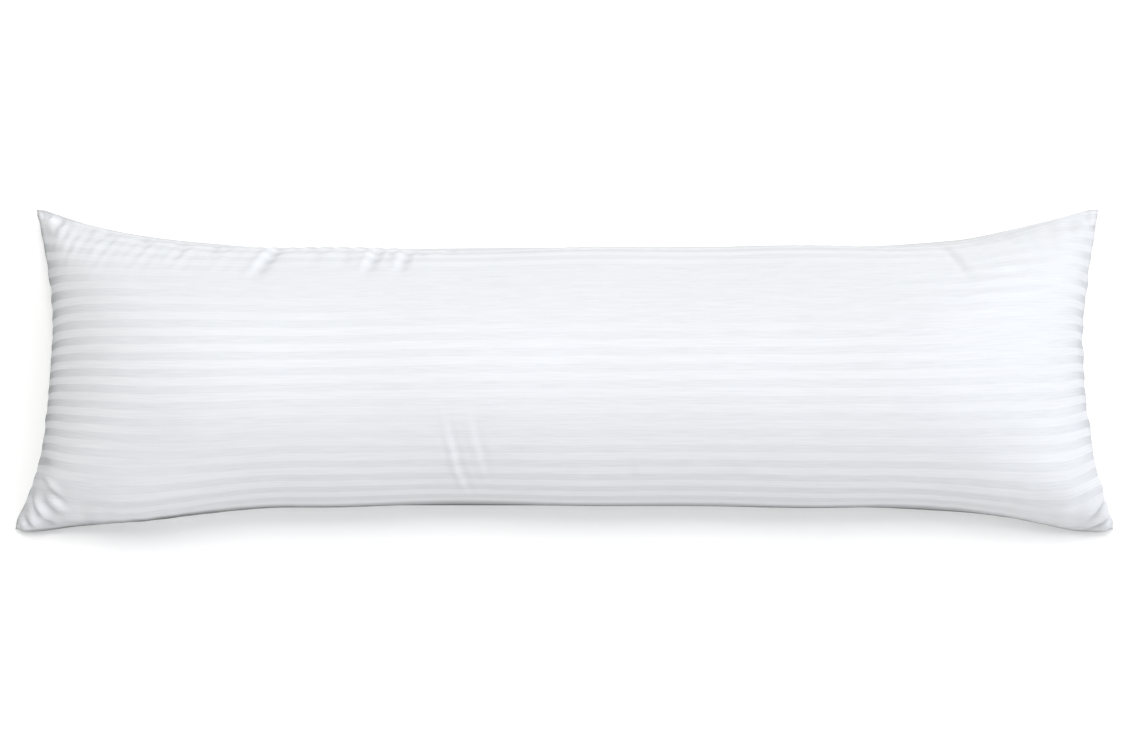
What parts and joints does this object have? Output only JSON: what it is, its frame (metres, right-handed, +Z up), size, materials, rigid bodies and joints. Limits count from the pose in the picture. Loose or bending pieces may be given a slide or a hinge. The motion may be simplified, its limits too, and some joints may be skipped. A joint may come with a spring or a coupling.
{
  "type": "body pillow",
  "caption": "Long soft body pillow in white satin-striped cotton, with a knife-edge seam, crowned faces, drawn-in sides and puckered corner ears.",
  "frame": {"origin": "on the surface it lies on, under the middle of its box", "axes": "+X along the pillow, +Y across it towards the edge that is drawn in most, +Z up through its face"},
  "size_m": [1.5376, 0.456, 0.2131],
  "materials": {
    "striped_cotton": "white cotton with satin and plain woven stripes along the length"
  },
  "bodies": {
    "root": {"pillow": "striped_cotton"}
  },
  "joints": []
}
